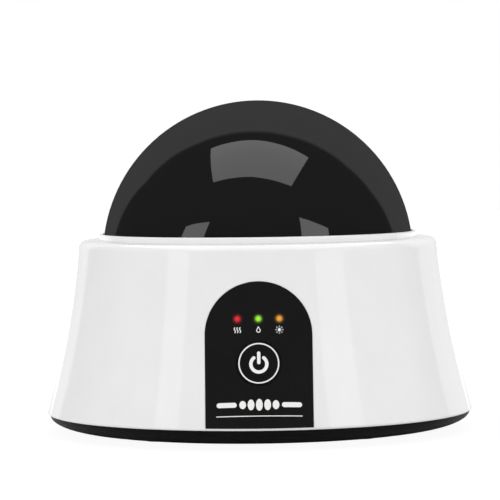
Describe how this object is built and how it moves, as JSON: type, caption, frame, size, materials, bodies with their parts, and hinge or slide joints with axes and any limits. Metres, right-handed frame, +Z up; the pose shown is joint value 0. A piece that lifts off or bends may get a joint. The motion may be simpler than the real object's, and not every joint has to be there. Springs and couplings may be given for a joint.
{
  "type": "gel polish remover",
  "caption": "Bell-shaped table-top gel polish remover: a black dome swings back over finger wells and a heated dish, with an arched front panel, power button and lights.",
  "frame": {"origin": "centre of the round footprint, on the plane of the feet", "axes": "+Z up; the control panel faces -Y; +X to the right seen from the front"},
  "size_m": [0.2152, 0.2154, 0.1674],
  "materials": {
    "shell_white": "high-gloss injection-moulded white ABS",
    "collar_white": "high-gloss moulded white ABS",
    "dome_black": "mirror-gloss moulded black ABS",
    "panel_black": "gloss black moulded panel with printed marks",
    "button_black": "gloss black moulded cap with printed ring and symbol",
    "base_black": "satin black moulded ABS",
    "lens_red": "translucent red light pipe",
    "lens_green": "translucent green light pipe",
    "lens_amber": "translucent amber light pipe",
    "rubber_black": "moulded rubber",
    "seal_grey": "soft silicone strip",
    "acetal_black": "turned acetal",
    "washer_grey": "die-cut friction washer",
    "bracket_white": "moulded nylon",
    "chamber_white": "moulded polypropylene",
    "insert_white": "moulded polypropylene",
    "dish_aluminium": "deep-drawn anodised aluminium",
    "heater_aluminium": "sawn and faced aluminium",
    "heater_ceramic": "fired ceramic heater with plated tabs",
    "gasket_red": "die-cut silicone sheet",
    "screw_steel": "zinc-plated cold-headed steel",
    "clamp_steel": "pressed spring steel",
    "thermostat_black": "moulded phenolic with plated tabs",
    "fuse_ceramic": "glazed ceramic body in a clip",
    "pad_felt": "needled glass-fibre felt",
    "inlet_black": "moulded thermoplastic",
    "contact_plated": "nickel-plated brass",
    "board_green": "glass-epoxy board with solder mask",
    "switch_black": "moulded switch body",
    "plunger_red": "moulded switch plunger",
    "led_clear": "cast epoxy",
    "transformer_core": "laminated core with taped winding",
    "relay_blue": "moulded relay case",
    "capacitor_black": "sleeved can",
    "fuse_glass": "glass tube with plated end caps",
    "block_green": "moulded terminal block",
    "lead_brown": "extruded insulation",
    "lead_red": "extruded silicone insulation",
    "lead_yellow": "extruded insulation",
    "ribbon_grey": "flat ribbon cable"
  },
  "bodies": {
    "stand": {"outer_housing": "shell_white", "collar_ring": "collar_white", "control_panel": "panel_black", "base_plate": "base_black", "indicator_lens_red": "lens_red", "indicator_lens_green": "lens_green", "indicator_lens_amber": "lens_amber", "rubber_feet": "rubber_black", "dome_stops": "rubber_black", "dome_seal": "seal_grey", "pivot_bush_left": "acetal_black", "pivot_bush_right": "acetal_black", "friction_washer_left": "washer_grey", "friction_washer_right": "washer_grey", "pivot_bracket_left": "bracket_white", "pivot_bracket_right": "bracket_white", "inner_bowl": "chamber_white", "solvent_dish": "dish_aluminium", "heater_plate": "heater_aluminium", "ptc_heater": "heater_ceramic", "dish_gasket": "gasket_red", "bracket_screws": "screw_steel", "control_board_screws": "screw_steel", "base_screws": "screw_steel", "bowl_screws": "screw_steel", "flange_screws": "screw_steel", "clamp_screws": "screw_steel", "power_board_screws": "screw_steel", "heater_clamp": "clamp_steel", "thermostat": "thermostat_black", "thermal_fuse": "fuse_ceramic", "insulation_pad": "pad_felt", "power_inlet": "inlet_black", "contact_pins": "contact_plated", "control_board": "board_green", "power_board": "board_green", "tact_switch": "switch_black", "buzzer": "switch_black", "indicator_leds": "led_clear", "transformer": "transformer_core", "relay": "relay_blue", "capacitor": "capacitor_black", "mains_fuse": "fuse_glass", "terminal_block": "block_green", "mains_leads": "lead_brown", "heater_leads": "lead_red", "sensor_leads": "lead_yellow", "ribbon_cable": "ribbon_grey"},
    "dome": {"visor_dome": "dome_black"},
    "button": {"power_button": "button_black", "switch_plunger": "plunger_red"},
    "insert": {"finger_insert": "insert_white", "finger_cups": "insert_white"}
  },
  "joints": [
    {"name": "dome_pivot", "type": "hinge", "parent": "stand", "child": "dome", "pos_m": [0, 0, 0.0886], "axis": [-1, 0, 0], "range_deg": [0, 66]},
    {"name": "button_press", "type": "slide", "parent": "stand", "child": "button", "axis": [0, 0.9757, -0.2191], "range_m": [0, 0.0006], "stiffness_N_per_m": 2500, "springref_m": -0.0003},
    {"name": "insert_lift", "type": "slide", "parent": "stand", "child": "insert", "axis": [0, 0, 1], "range_m": [0, 0.022]}
  ]
}
